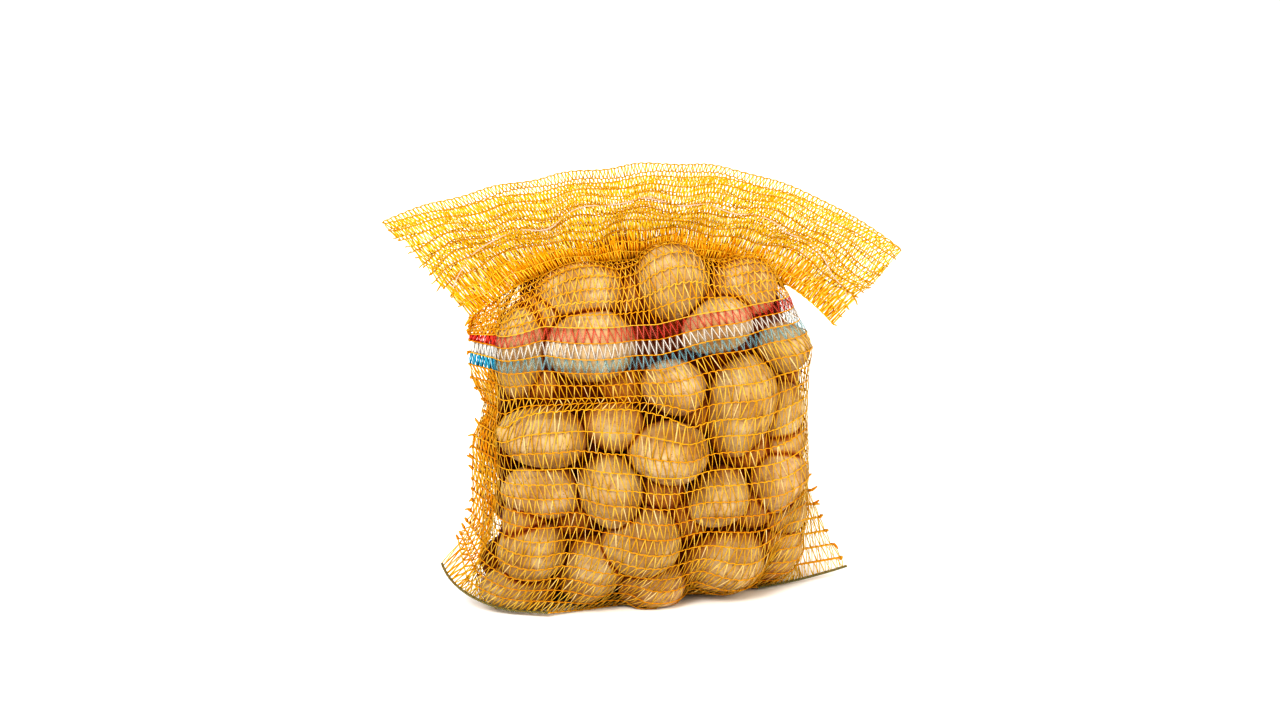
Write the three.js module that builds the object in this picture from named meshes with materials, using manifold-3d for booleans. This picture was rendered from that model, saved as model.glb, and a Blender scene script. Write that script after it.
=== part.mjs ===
// A mesh produce sack: a knitted net sack filled with potatoes, standing on its bottom, with its empty mouth
// gathered at the neck and spread out above the fill like a drooping fan.
// Millimetres, +Z up, the front of the sack faces -Y, and the origin is on the floor under its middle.

import * as THREE from "three";
import { mergeVertices } from "three/addons/utils/BufferGeometryUtils.js";
import { RoundedBoxGeometry } from "three/addons/geometries/RoundedBoxGeometry.js";
import Module from "manifold-3d";

const wasm = await Module();
wasm.setup();

// Driving dimensions

// Filled part of the sack
const HALF_WIDTH = 150; // where the front face has curved back to the side seams
const HALF_DEPTH = 80; // at the fullest height
const FULLEST_Z = 110; // height where the sack is deepest
const SHOULDER_RISE = 160; // height over which the top and bottom draw in
const DRAW_IN = 0.35; // share of the depth lost over that height
const CORE = { width: 190, depth: 92, height: 230, radius: 34, bottom: -2 };
const POTATO_DETAIL = 1; // how finely the faces of an icosahedron are divided for one potato
const POTATO_FULL = 1.04; // makes a potato of flat faces as large as a round one
const POTATO_TAPER = 0.1; // how much thicker one end of a potato is
const BACK_NARROWING = 0.95; // the back of the fill beside the front

// The potatoes that show at the front, as they lie: place across and up, length, width, turn, and how far
// they sit behind the front face.
const FRONT_POTATOES = [
  [-55, 255, 74, 47, 0, 12],
  [16, 259, 66, 60, 80, 4],
  [74, 254, 58, 50, -10, 12],
  [-103, 212, 78, 44, 82, 8],
  [-52, 217, 74, 58, 4, 0],
  [49, 229, 60, 44, 18, 0],
  [103, 207, 48, 42, -15, 4],
  [14, 183, 54, 44, -20, 6],
  [68, 163, 86, 55, 76, 2],
  [103, 154, 54, 38, 85, 10],
  [-90, 146, 72, 50, -8, 2],
  [-33, 152, 52, 42, -15, 16],
  [8, 131, 66, 52, -5, 0],
  [-90, 102, 66, 44, -8, 6],
  [-37, 101, 62, 53, 110, 2],
  [49, 90, 55, 48, 30, 6],
  [100, 100, 56, 46, 72, 4],
  [107, 68, 42, 36, 10, 16],
  [-98, 52, 58, 55, 40, 0],
  [-13, 57, 66, 60, 20, 0],
  [-52, 33, 60, 54, 62, 8],
  [56, 33, 74, 56, 5, 10],
  [102, 34, 54, 46, 70, 18],
  [-108, 17, 64, 40, -5, 8],
  [-2, 17, 56, 42, 0, 10],
  [-92, 232, 56, 44, 30, 16],
  [103, 181, 46, 36, 80, 24],
];

// The potatoes between front and back that show at the two sides and on top, with no corner between the two
const RIM_COLUMNS = [-102, -52, 0, 52, 97];
const RIM_LAYERS = [25, 82, 138, 192, 244];
const RIM_POTATO = { length: 62, width: 52 };
const RIM_WOBBLE = 5; // how far they lie off an even grid

// Empty mouth of the sack, from the neck to the cut edge
const NECK = { left: -142, right: 148, top: 277, leftZ: 241, rightZ: 222 };
const MOUTH = { span: 414, top: 341, leftZ: 314, rightZ: 277, peak: 0.1 };
const NECK_ROUND = 3; // power of the neck's arch
const MOUTH_ROUND = { left: 1.6, right: 2 }; // powers of the mouth's arch on either side
const NECK_Y = 4; // how far behind the middle the neck lies
const MOUTH_LEAN = 14; // how far the mouth leans back from there
const WING_FORWARD = 26; // how far the drooping ends come forward
const FOLD = { count: 7, depth: 6 }; // loose folds across the mouth
const LAYER_GAP = { neck: 16, mouth: 26, end: 2.4 }; // from the front layer's face to the back layer's
const BACK_RISE = 5; // how much higher the back layer's edge stands
const COLLAR_ROOT = -0.25; // how far below the neck the net dips in between the potatoes
const COLLAR_STEPS = { across: 38, up: 6 };

// Plain film strip behind the neck, and the thread drawn through the mouth
const FILM = { from: 0.06, to: 0.45, thickness: 1, gap: 1.4, end: 0.985, steps: 26 };
const THREAD = { up: 0.65, drop: 0.5, radius: 1.1, gap: 0.6, end: 0.97, steps: 38 };

// Side edges, where front and back are sewn together and the cut edge stands out, and the hem under them
const EDGE_THICKNESS = 2.6;
const EDGE_STEPS = { across: 4, up: 12 };
const EAR_POWER = 1.7; // how fast an edge widens to its ear
const EDGES = {
  left: {
    side: -1, inner: 114, width: 28, ear: 62, earRise: 90, y: -14, back: 0, top: 222, tip: 36, low: 4, front: 32,
  },
  right: {
    side: 1, inner: 108, width: 24, ear: 43, earRise: 110, y: -2, back: 18, top: 210, tip: 8, low: 3, front: 18,
  },
};
const HEM = { radius: 1.7, steps: 14, under: -0.35 }; // it runs on under the sack past the seam

const CLEARANCE = 0.4; // gap between neighbouring pieces

// Colours
const POTATO_SKIN = { color: 0xc9a577, roughness: 0.75 };
const NET_YELLOW = { color: 0xf4ae22, roughness: 0.45 };
const FILM_CLEAR = { color: 0xe9e4e6, roughness: 0.3 };
const THREAD_PALE = { color: 0xf3dcd6, roughness: 0.6 };
const HEM_GREEN = { color: 0x5f6850, roughness: 0.8 };

// Working with solids

const lerp = THREE.MathUtils.lerp;
const radians = THREE.MathUtils.degToRad;

function toSolid(geometry) {
  const bare = geometry.clone();
  bare.deleteAttribute("normal");
  bare.deleteAttribute("uv");
  const merged = mergeVertices(bare);
  return new wasm.Manifold(new wasm.Mesh({
    numProp: 3,
    vertProperties: new Float32Array(merged.attributes.position.array),
    triVerts: new Uint32Array(merged.index.array),
  }));
}

function toGeometry(solid) {
  const { numProp, vertProperties, triVerts } = solid.getMesh();
  const geometry = new THREE.BufferGeometry();
  geometry.setAttribute("position", new THREE.BufferAttribute(new Float32Array(vertProperties), numProp));
  geometry.setIndex(new THREE.BufferAttribute(new Uint32Array(triVerts), 1));
  geometry.computeVertexNormals();
  return geometry;
}

// The main body of a cut or joined solid, without scraps and with no sealed hollow.
function mainBody(solid) {
  const bodies = solid.decompose();
  bodies.sort((a, b) => b.volume() - a.volume());
  return bodies[0];
}

function namedMesh(name, geometry, finish) {
  const mesh = new THREE.Mesh(geometry, new THREE.MeshStandardMaterial({ ...finish, metalness: 0 }));
  mesh.name = name;
  return mesh;
}

// A thin closed solid between two faces, each given as a function of the place across and up (0 to 1).
function sheetGeometry(front, back, across, up) {
  const positions = [];
  const triangles = [];
  const stride = across + 1;
  const layer = stride * (up + 1);
  for (const face of [front, back]) {
    for (let j = 0; j <= up; j++) {
      for (let i = 0; i <= across; i++) {
        positions.push(...face(i / across, j / up).toArray());
      }
    }
  }
  const quad = (a, b, c, d) => triangles.push(a, b, c, a, c, d);
  for (let j = 0; j < up; j++) {
    for (let i = 0; i < across; i++) {
      const a = j * stride + i;
      quad(a, a + 1, a + 1 + stride, a + stride);
      quad(layer + a, layer + a + stride, layer + a + 1 + stride, layer + a + 1);
    }
  }
  for (let i = 0; i < across; i++) {
    const top = up * stride + i;
    quad(i, i + layer, i + 1 + layer, i + 1);
    quad(top, top + 1, top + 1 + layer, top + layer);
  }
  for (let j = 0; j < up; j++) {
    const left = j * stride;
    const right = left + across;
    quad(left, left + stride, left + stride + layer, left + layer);
    quad(right, right + layer, right + stride + layer, right + stride);
  }
  const geometry = new THREE.BufferGeometry();
  geometry.setAttribute("position", new THREE.Float32BufferAttribute(positions, 3));
  geometry.setIndex(triangles);
  return geometry;
}

// A round strand along a curve.
function strandGeometry(points, radius, steps) {
  const section = new THREE.Shape().absarc(0, 0, radius, 0, 2 * Math.PI);
  const curve = new THREE.CatmullRomCurve3(points);
  return new THREE.ExtrudeGeometry(section, { extrudePath: curve, steps, curveSegments: 4 });
}

// Potatoes

// Half the depth of the filled sack at a place on its front.
function halfDepth(x, z) {
  const across = Math.sqrt(1 - Math.abs(x / HALF_WIDTH) ** 3);
  const up = 1 - DRAW_IN * ((z - FULLEST_Z) / SHOULDER_RISE) ** 2;
  return HALF_DEPTH * across * up;
}

function frontPotatoes() {
  return FRONT_POTATOES.map(([x, z, length, width, turn, back]) => {
    const y = -halfDepth(x, z) + width / 2 + back;
    return { x, y, z, length, width, turn };
  });
}

// The back of the fill is heaped like the front, turned half round.
function backPotatoes() {
  return frontPotatoes().map(({ x, y, z, length, width, turn }) => (
    { x: -x * BACK_NARROWING, y: -y, z, length, width, turn: -turn }
  ));
}

function rimPotatoes() {
  const potatoes = [];
  RIM_COLUMNS.forEach((x, column) => {
    RIM_LAYERS.forEach((z, layer) => {
      const atSide = column === 0 || column === RIM_COLUMNS.length - 1;
      const onTop = layer === RIM_LAYERS.length - 1;
      if (atSide === onTop) return;
      const k = column * RIM_LAYERS.length + layer;
      potatoes.push({
        x: x + RIM_WOBBLE * Math.sin(2.4 * k),
        y: RIM_WOBBLE * Math.sin(3.7 * k),
        z: z + RIM_WOBBLE * Math.cos(5.1 * k),
        length: RIM_POTATO.length + RIM_WOBBLE * Math.cos(1.9 * k),
        width: RIM_POTATO.width + RIM_WOBBLE * Math.sin(4.3 * k),
        turn: 90 * Math.sin(1.3 * k),
      });
    });
  });
  return potatoes;
}

function potatoGeometry({ x, y, z, length, width, turn }, swell) {
  const geometry = new THREE.IcosahedronGeometry(1, POTATO_DETAIL);
  const place = geometry.attributes.position;
  for (let i = 0; i < place.count; i++) {
    const girth = 1 + POTATO_TAPER * place.getX(i);
    place.setY(i, place.getY(i) * girth);
    place.setZ(i, place.getZ(i) * girth);
  }
  const long = POTATO_FULL * length / 2 + swell;
  const thick = POTATO_FULL * width / 2 + swell;
  geometry.scale(long, thick, thick);
  geometry.rotateY(-radians(turn));
  return geometry.translate(x, y, z);
}

function coreGeometry(swell) {
  const { width, depth, height, radius, bottom } = CORE;
  const geometry = new RoundedBoxGeometry(width + 2 * swell, depth + 2 * swell, height + 2 * swell, 2, radius);
  return geometry.translate(0, 0, bottom + height / 2);
}

// The heap of potatoes in the net, flat where it rests on the floor.
function fillSolid(swell) {
  const pieces = [...frontPotatoes(), ...backPotatoes(), ...rimPotatoes()];
  const solids = pieces.map((potato) => toSolid(potatoGeometry(potato, swell)));
  const heap = wasm.Manifold.union([toSolid(coreGeometry(swell)), ...solids]);
  const room = 4 * HALF_WIDTH;
  const aboveFloor = toSolid(new THREE.BoxGeometry(room, room, room).translate(0, 0, room / 2 - swell));
  return mainBody(heap.intersect(aboveFloor));
}

// Net mouth

function neckLine(s) {
  const x = lerp(NECK.left, NECK.right, (s + 1) / 2);
  const end = s < 0 ? NECK.leftZ : NECK.rightZ;
  return [x, lerp(NECK.top, end, Math.abs(s) ** NECK_ROUND)];
}

function mouthLine(s) {
  const left = s < MOUTH.peak;
  const end = left ? MOUTH.leftZ : MOUTH.rightZ;
  const power = left ? MOUTH_ROUND.left : MOUTH_ROUND.right;
  const away = left ? (MOUTH.peak - s) / (MOUTH.peak + 1) : (s - MOUTH.peak) / (1 - MOUTH.peak);
  return [s * MOUTH.span / 2, lerp(MOUTH.top, end, away ** power)];
}

// A point of the mouth: s runs from the left end (-1) to the right (1), t from the neck (0) to the edge (1),
// and side is -1 on the front layer's face and 1 on the back layer's.
function mouthPoint(s, t, side) {
  const [neckX, neckZ] = neckLine(s);
  const [edgeX, edgeZ] = mouthLine(s);
  const open = Math.max(t, 0);
  const round = Math.sqrt(Math.max(1 - s * s, 0));
  const gap = LAYER_GAP.end + round * lerp(LAYER_GAP.neck, LAYER_GAP.mouth, open);
  const fold = FOLD.depth * open * Math.sin(FOLD.count * Math.PI * s + 1.4 * t) * round;
  const y = NECK_Y + MOUTH_LEAN * open - WING_FORWARD * s * s + fold + side * gap / 2;
  const rise = side > 0 ? BACK_RISE * open * round : 0;
  return new THREE.Vector3(lerp(neckX, edgeX, t), y, lerp(neckZ, edgeZ, t) + rise);
}

function collarGeometry() {
  const face = (side) => (i, j) => mouthPoint(2 * i - 1, lerp(COLLAR_ROOT, 1, j), side);
  return sheetGeometry(face(-1), face(1), COLLAR_STEPS.across, COLLAR_STEPS.up);
}

function filmGeometry() {
  const away = (distance) => (i, j) => {
    const s = FILM.end * (2 * i - 1);
    const point = mouthPoint(s, lerp(FILM.from, FILM.to, j), 1);
    point.y += FILM.gap + distance;
    return point;
  };
  return sheetGeometry(away(0), away(FILM.thickness), FILM.steps, 2);
}

function threadGeometry() {
  const points = [];
  for (let i = 0; i <= THREAD.steps; i++) {
    const s = THREAD.end * (2 * i / THREAD.steps - 1);
    const point = mouthPoint(s, THREAD.up - THREAD.drop * s * s, -1);
    point.y -= THREAD.gap + THREAD.radius;
    points.push(point);
  }
  return strandGeometry(points, THREAD.radius, THREAD.steps);
}

// Side edges and hem

// A point of a side edge: across from the seam (0) to the cut edge (1), up from the hem (0) to the top (1).
function edgePoint(edge, across, up) {
  const low = lerp(edge.low, edge.tip, Math.max(across, 0) ** 1.5);
  const z = lerp(low, edge.top, up);
  const ear = edge.ear * Math.max(1 - z / edge.earRise, 0) ** EAR_POWER;
  const x = edge.inner + across * (edge.width + ear);
  const forward = edge.front * (1 - across) * (1 - up) ** 3;
  const wave = 3 * across * Math.sin(9 * up);
  return new THREE.Vector3(edge.side * x, edge.y - forward + edge.back * across * up + wave, z);
}

function edgeGeometry(edge) {
  const face = (offset) => (i, j) => {
    const point = edgePoint(edge, edge.side < 0 ? 1 - i : i, j);
    point.y += offset;
    return point;
  };
  return sheetGeometry(face(-EDGE_THICKNESS / 2), face(EDGE_THICKNESS / 2), EDGE_STEPS.across, EDGE_STEPS.up);
}

// The sewn hem, along the lower end of a side edge and on under the sack.
function hemGeometry(edge, swell) {
  const points = [];
  for (let i = 0; i <= HEM.steps; i++) {
    points.push(edgePoint(edge, lerp(1, HEM.under, i / HEM.steps), 0));
  }
  return strandGeometry(points, HEM.radius + swell, HEM.steps);
}

// The sack

const fillRoom = fillSolid(CLEARANCE);
const clearOfFill = (geometry) => toSolid(geometry).subtract(fillRoom);

const sack = new THREE.Group();
sack.name = "mesh_produce_sack";
sack.add(namedMesh("potato_fill", toGeometry(fillSolid(0)), POTATO_SKIN));
sack.add(namedMesh("net_collar", toGeometry(mainBody(clearOfFill(collarGeometry()))), NET_YELLOW));
sack.add(namedMesh("film_strip", toGeometry(mainBody(clearOfFill(filmGeometry()))), FILM_CLEAR));
sack.add(namedMesh("draw_thread", threadGeometry(), THREAD_PALE));
for (const [end, edge] of Object.entries(EDGES)) {
  const hemRoom = toSolid(hemGeometry(edge, CLEARANCE));
  const edgeSolid = mainBody(clearOfFill(edgeGeometry(edge)).subtract(hemRoom));
  const hemSolid = mainBody(clearOfFill(hemGeometry(edge, 0)));
  sack.add(namedMesh(`side_edge_${end}`, toGeometry(edgeSolid), NET_YELLOW));
  sack.add(namedMesh(`hem_${end}`, toGeometry(hemSolid), HEM_GREEN));
}

export default sack;
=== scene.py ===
# %% [markdown]
# # A net sack of potatoes
# The sack stands on its bottom. Potatoes fill it, a knitted net of golden plastic tape holds them, and
# the empty mouth of the net is gathered at the neck and spreads out above like a fan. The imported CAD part
# is loaded first: it is the frame, and each piece made here stands for some of its solids. Lengths below
# are in millimetres, as in the CAD part, and become metres where a mesh is made.

# %% Load the frame
import math

import bpy
import numpy as np
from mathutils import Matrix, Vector


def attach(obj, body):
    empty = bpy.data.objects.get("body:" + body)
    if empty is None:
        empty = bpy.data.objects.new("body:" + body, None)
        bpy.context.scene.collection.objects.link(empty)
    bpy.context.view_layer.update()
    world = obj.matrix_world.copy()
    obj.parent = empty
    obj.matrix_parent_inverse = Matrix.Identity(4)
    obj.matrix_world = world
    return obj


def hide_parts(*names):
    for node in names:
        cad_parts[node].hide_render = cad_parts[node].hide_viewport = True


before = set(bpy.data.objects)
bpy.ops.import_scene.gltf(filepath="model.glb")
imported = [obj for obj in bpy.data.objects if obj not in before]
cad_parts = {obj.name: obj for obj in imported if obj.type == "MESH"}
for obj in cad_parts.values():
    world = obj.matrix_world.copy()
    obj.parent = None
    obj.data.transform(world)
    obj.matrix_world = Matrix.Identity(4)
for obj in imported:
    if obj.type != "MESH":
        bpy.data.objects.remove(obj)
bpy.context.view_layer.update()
MM = 0.001
SEED = 11
dice = np.random.default_rng(SEED)
print("CAD nodes:", sorted(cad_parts))

# %% [markdown]
# ## Camera, light and floor
# The photo is taken from a little above and a little to the left of the front. A long lens keeps the
# sides nearly parallel. The camera is placed first, so that every later piece can be judged from its
# place.

# %% Camera
VIEW_TURN = math.radians(-10)
VIEW_RISE = math.radians(15)
VIEW_DISTANCE = 1.9
VIEW_CENTRE = Vector((-0.0044, 0, 0.198))
LENS = 66.8
towards_camera = Vector((
    math.sin(VIEW_TURN) * math.cos(VIEW_RISE),
    -math.cos(VIEW_TURN) * math.cos(VIEW_RISE),
    math.sin(VIEW_RISE),
))
bpy.ops.object.camera_add(location=VIEW_CENTRE + towards_camera * VIEW_DISTANCE)
camera = bpy.context.object
camera.rotation_euler = (-towards_camera).to_track_quat("-Z", "Y").to_euler()
camera.data.lens = LENS
bpy.context.scene.camera = camera
print("camera at", [round(v, 3) for v in camera.location])

# %% [markdown]
# The light is that of a white studio: a bright even surround, one large soft lamp above the camera's left
# shoulder, and a weaker and warmer one on the right. Area lamps are used because a small lamp would draw
# hard shadows of every strand. The photo has the strong contrast of a camera's own picture, so the view
# gets a contrast look too.

# %% Light
SURROUND_STRENGTH = 0.8
bpy.context.scene.view_settings.view_transform = "Standard"
bpy.context.scene.view_settings.look = "Very High Contrast"
surround = bpy.data.worlds.new("white surround")
surround.use_nodes = True
sky = surround.node_tree.nodes["Background"]
sky.inputs["Color"].default_value = (1, 1, 1, 1)
sky.inputs["Strength"].default_value = SURROUND_STRENGTH
bpy.context.scene.world = surround


def soft_lamp(name, place, size, power, colour):
    bpy.ops.object.light_add(type="AREA", location=place)
    lamp = bpy.context.object
    lamp.name = name
    lamp.data.shape = "DISK"
    lamp.data.size = size
    lamp.data.energy = power
    lamp.data.color = colour
    lamp.rotation_euler = (VIEW_CENTRE - Vector(place)).to_track_quat("-Z", "Y").to_euler()
    print(name, "of", power, "watts")


soft_lamp("key lamp", place=(-1.2, -1.5, 1.9), size=1.1, power=31.5, colour=(1, 1, 1))
soft_lamp("fill lamp", place=(1.6, -1.2, 1.0), size=1.4, power=14, colour=(1, 0.88, 0.70))

# %% [markdown]
# The floor is a plain pale sheet that runs past the picture on all sides. It belongs to the stage and not
# to the sack.

# %% Floor
FLOOR_SIZE = 40
FLOOR_GREY = 0.9
bpy.ops.mesh.primitive_plane_add(size=FLOOR_SIZE, location=(0, 0, 0))
floor = bpy.context.object
floor.name = "floor"
paper = bpy.data.materials.new("pale paper")
paper.use_nodes = True
sheet = paper.node_tree.nodes["Principled BSDF"]
sheet.inputs["Base Color"].default_value = (FLOOR_GREY, FLOOR_GREY, FLOOR_GREY, 1)
sheet.inputs["Roughness"].default_value = 0.9
floor.data.materials.append(paper)
print("floor of", FLOOR_SIZE, "metres")

# %% [markdown]
# ## Where the potatoes lie
# A filled sack is a cushion: deepest in the middle, thinner towards its sides, and drawn in towards the
# shoulder and the bottom. One formula for half its depth tells where its front lies, and the potatoes are
# set behind that front.

# %% Form of the filled sack
HALF_WIDTH = 150
HALF_DEPTH = 80
FULLEST_Z = 110
SHOULDER_RISE = 160
DRAW_IN = 0.35


def half_depth(x, z):
    """Half the depth of the filled sack at a place on its front."""
    across = np.sqrt(1 - np.clip(np.abs(x) / HALF_WIDTH, 0, 1) ** 3)
    return HALF_DEPTH * across * (1 - DRAW_IN * ((z - FULLEST_Z) / SHOULDER_RISE) ** 2)


print("half depth in the middle:", half_depth(0, FULLEST_Z))

# %% [markdown]
# The potatoes that show at the front are placed one by one: across, up, length, width, turn, and how far
# each sits behind the bulging front. Some more lie behind the gaps between them. A physics drop would
# give a heap too, but not the one in the photo. The back is heaped the same way, turned half round.

# %% Potatoes of the front and the back
BACK_NARROWING = 0.95
FRONT_POTATOES = [
    (-55, 255, 74, 47, 0, 12), (16, 259, 66, 60, 80, 4), (74, 254, 58, 50, -10, 12),
    (-103, 212, 78, 44, 82, 8), (-52, 217, 74, 58, 4, 0), (49, 229, 60, 44, 18, 0),
    (103, 207, 48, 42, -15, 4), (14, 183, 54, 44, -20, 6), (68, 163, 86, 55, 76, 2),
    (103, 154, 54, 38, 85, 10), (-90, 146, 72, 50, -8, 2), (-33, 152, 52, 42, -15, 16),
    (8, 131, 66, 52, -5, 0), (-90, 102, 66, 44, -8, 6), (-37, 101, 62, 53, 110, 2),
    (49, 90, 55, 48, 30, 6), (100, 100, 56, 46, 72, 4), (107, 68, 42, 36, 10, 16),
    (-98, 52, 58, 55, 40, 0), (-13, 57, 66, 60, 20, 0), (-52, 33, 60, 54, 62, 8),
    (56, 33, 74, 56, 5, 10), (102, 34, 54, 46, 70, 18), (-108, 17, 64, 40, -5, 8),
    (-2, 17, 56, 42, 0, 10), (-92, 232, 56, 44, 30, 16), (103, 181, 46, 36, 80, 24),
]
INNER_POTATOES = [
    (-84, 186, 54, 44, 15, 26), (-28, 184, 56, 46, -10, 26), (2, 222, 50, 42, 30, 26),
    (-20, 248, 50, 42, 0, 24), (36, 243, 46, 40, -20, 22), (36, 158, 50, 42, 60, 26),
    (76, 126, 54, 44, 20, 24), (2, 98, 54, 46, -30, 24), (24, 72, 50, 42, 45, 24),
    (76, 80, 52, 44, -25, 22), (-66, 82, 54, 44, 30, 24), (86, 190, 50, 42, 40, 22),
    (103, 127, 44, 36, 10, 14), (-103, 76, 46, 38, 70, 10), (-108, 40, 40, 32, 80, 26),
]


def behind_front(x, z, length, width, turn, back):
    return (x, -half_depth(x, z) + width / 2 + back, z, length, width, turn)


front_places = [behind_front(*potato) for potato in FRONT_POTATOES]
inner_places = [behind_front(*potato) for potato in INNER_POTATOES]
back_places = []
for x, y, z, length, width, turn in front_places:
    back_places.append((-x * BACK_NARROWING, -y, z, length, width, -turn))
print(len(front_places), "at the front,", len(back_places), "at the back,", len(inner_places), "in the gaps")

# %% [markdown]
# Between the front and the back, more potatoes fill the two sides and the top. They lie in columns and
# layers, each a little off its place, so that no row shows.

# %% Potatoes of the sides and the top
RIM_COLUMNS = [-102, -52, 0, 52, 97]
RIM_LAYERS = [25, 82, 138, 192, 244]
RIM_LENGTH = 62
RIM_WIDTH = 52
RIM_WOBBLE = 5


def rim_potato(column, layer):
    k = column * len(RIM_LAYERS) + layer
    return (
        RIM_COLUMNS[column] + RIM_WOBBLE * math.sin(2.4 * k),
        RIM_WOBBLE * math.sin(3.7 * k),
        RIM_LAYERS[layer] + RIM_WOBBLE * math.cos(5.1 * k),
        RIM_LENGTH + RIM_WOBBLE * math.cos(1.9 * k),
        RIM_WIDTH + RIM_WOBBLE * math.sin(4.3 * k),
        90 * math.sin(1.3 * k),
    )


rim_places = []
for column in range(len(RIM_COLUMNS)):
    for layer in range(len(RIM_LAYERS)):
        at_side = column in (0, len(RIM_COLUMNS) - 1)
        on_top = layer == len(RIM_LAYERS) - 1
        if at_side != on_top:
            rim_places.append(rim_potato(column, layer))
potato_places = front_places + back_places + rim_places + inner_places
print(len(potato_places), "potatoes")

# %% [markdown]
# ## Potatoes
# A potato is a ball drawn out long, a little thicker at one end, with a few shallow eyes. Each pattern
# potato is an ico sphere. A Simple Deform modifier tapers it, a Displace modifier with a cloud texture
# gives it lumps, and an eye is one vertex pushed in with proportional editing, so that its neighbours
# follow. Four patterns are enough, because every copy gets its own size and is rolled to show another
# side.

# %% Pattern potatoes
POTATO_TAPER = 0.1
PATTERNS = 4
PATTERN_SEED = 40
EYES = 6
FINE, COARSE = 5, 4
CLOUD_SIZES = [0.75, 0.95, 1.15, 0.85]


def push_in_eye(potato, direction, depth, reach):
    vertices = potato.data.vertices
    nearest = max(range(len(vertices)), key=lambda i: vertices[i].co.dot(direction))
    bpy.ops.object.mode_set(mode="EDIT")
    bpy.ops.mesh.select_mode(type="VERT")
    bpy.ops.mesh.select_all(action="DESELECT")
    bpy.ops.object.mode_set(mode="OBJECT")
    vertices[nearest].select = True
    bpy.ops.object.mode_set(mode="EDIT")
    bpy.ops.transform.translate(
        value=-direction * depth, use_proportional_edit=True,
        proportional_edit_falloff="SMOOTH", proportional_size=reach,
    )
    bpy.ops.object.mode_set(mode="OBJECT")


def pattern_potato(number, level):
    bpy.ops.object.select_all(action="DESELECT")
    bpy.ops.mesh.primitive_ico_sphere_add(subdivisions=level, radius=1)
    potato = bpy.context.object
    taper = potato.modifiers.new("taper", "SIMPLE_DEFORM")
    taper.deform_method = "TAPER"
    taper.deform_axis = "X"
    taper.factor = 2 * POTATO_TAPER
    clouds = bpy.data.textures.new("lumps", "CLOUDS")
    clouds.noise_scale = CLOUD_SIZES[number]
    clouds.noise_depth = 1
    lumps = potato.modifiers.new("lumps", "DISPLACE")
    lumps.texture = clouds
    lumps.strength = 0.12
    lumps.mid_level = 0.52
    for name in ("taper", "lumps"):
        bpy.ops.object.modifier_apply(modifier=name)
    luck = np.random.default_rng(PATTERN_SEED + number)
    for eye in range(EYES):
        direction = Vector(luck.normal(size=3)).normalized()
        push_in_eye(potato, direction, luck.uniform(0.05, 0.09), luck.uniform(0.2, 0.3))
    bpy.ops.object.shade_smooth()
    return potato


fine_patterns = [pattern_potato(n, FINE) for n in range(PATTERNS)]
coarse_patterns = [pattern_potato(n, COARSE) for n in range(PATTERNS)]
print("faces of a pattern:", len(fine_patterns[0].data.polygons), len(coarse_patterns[0].data.polygons))

# %% [markdown]
# Two things need to know how far a point lies from a potato: the shade where potatoes touch, and later
# the net, which has to stay outside them all. A ray cast on the mesh would be exact but slow for so many
# points, so a potato counts here as the stretched and tapered ball it was made from.

# %% Gap between a point and a potato
TINY = 1e-9


def potato_gap(points, potato, clearance=0.0):
    """How far points lie outside a potato, and the way straight out of it."""
    x, y, z, length, width, turn = potato
    c, s = math.cos(math.radians(turn)), math.sin(math.radians(turn))
    offset = points - (x, y, z)
    along = c * offset[:, 0] + s * offset[:, 2]
    rise = c * offset[:, 2] - s * offset[:, 0]
    long_half = length / 2 + clearance
    girth = (width / 2 + clearance) * (1 + POTATO_TAPER * np.clip(along / long_half, -1, 1))
    local = np.stack([along, offset[:, 1], rise], -1)
    halves = np.stack([np.full_like(girth, long_half), girth, girth], -1)
    level = np.linalg.norm(local / halves, axis=1)
    slope = local / halves ** 2
    steepness = np.linalg.norm(slope, axis=1) + TINY
    out = slope / steepness[:, None]
    out = np.stack([c * out[:, 0] - s * out[:, 2], out[:, 1], s * out[:, 0] + c * out[:, 2]], -1)
    return (level - 1) * level / steepness, out


front_gap, _ = potato_gap(np.array([[0, -HALF_DEPTH, FULLEST_Z]]), potato_places[0])
print("from the middle of the front to the first potato:", front_gap.round(1))

# %% [markdown]
# Where potatoes touch, and deep in the heap, little light comes in, and the skins there get painted shade.
# It is worked out for each vertex as a number from 0 to 1, because light alone leaves such places too pale.

# %% Painted shade between the potatoes
TOUCH_REACH = 3
NEIGHBOUR_REACH = 100
LIT_DEPTH = 17
DARK_DEPTH = 40


def painted_shade_at(points, number):
    """Painted shade of the skin: from 0 in the open to 1 where potatoes touch or deep in the heap."""
    nearest = np.full(len(points), float(NEIGHBOUR_REACH))
    for other, potato in enumerate(potato_places):
        apart = np.linalg.norm(np.subtract(potato[:3], potato_places[number][:3]))
        if other != number and apart < NEIGHBOUR_REACH:
            nearest = np.minimum(nearest, potato_gap(points, potato)[0])
    touching = np.clip(1 - nearest / TOUCH_REACH, 0, 1)
    deep = half_depth(points[:, 0], points[:, 2]) - np.abs(points[:, 1])
    return np.maximum(touching, np.clip((deep - LIT_DEPTH) / (DARK_DEPTH - LIT_DEPTH), 0, 1))


first_centre = np.array([potato_places[0][:3]])
print("shade inside the first potato:", painted_shade_at(first_centre, 0).round(2))
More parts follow.
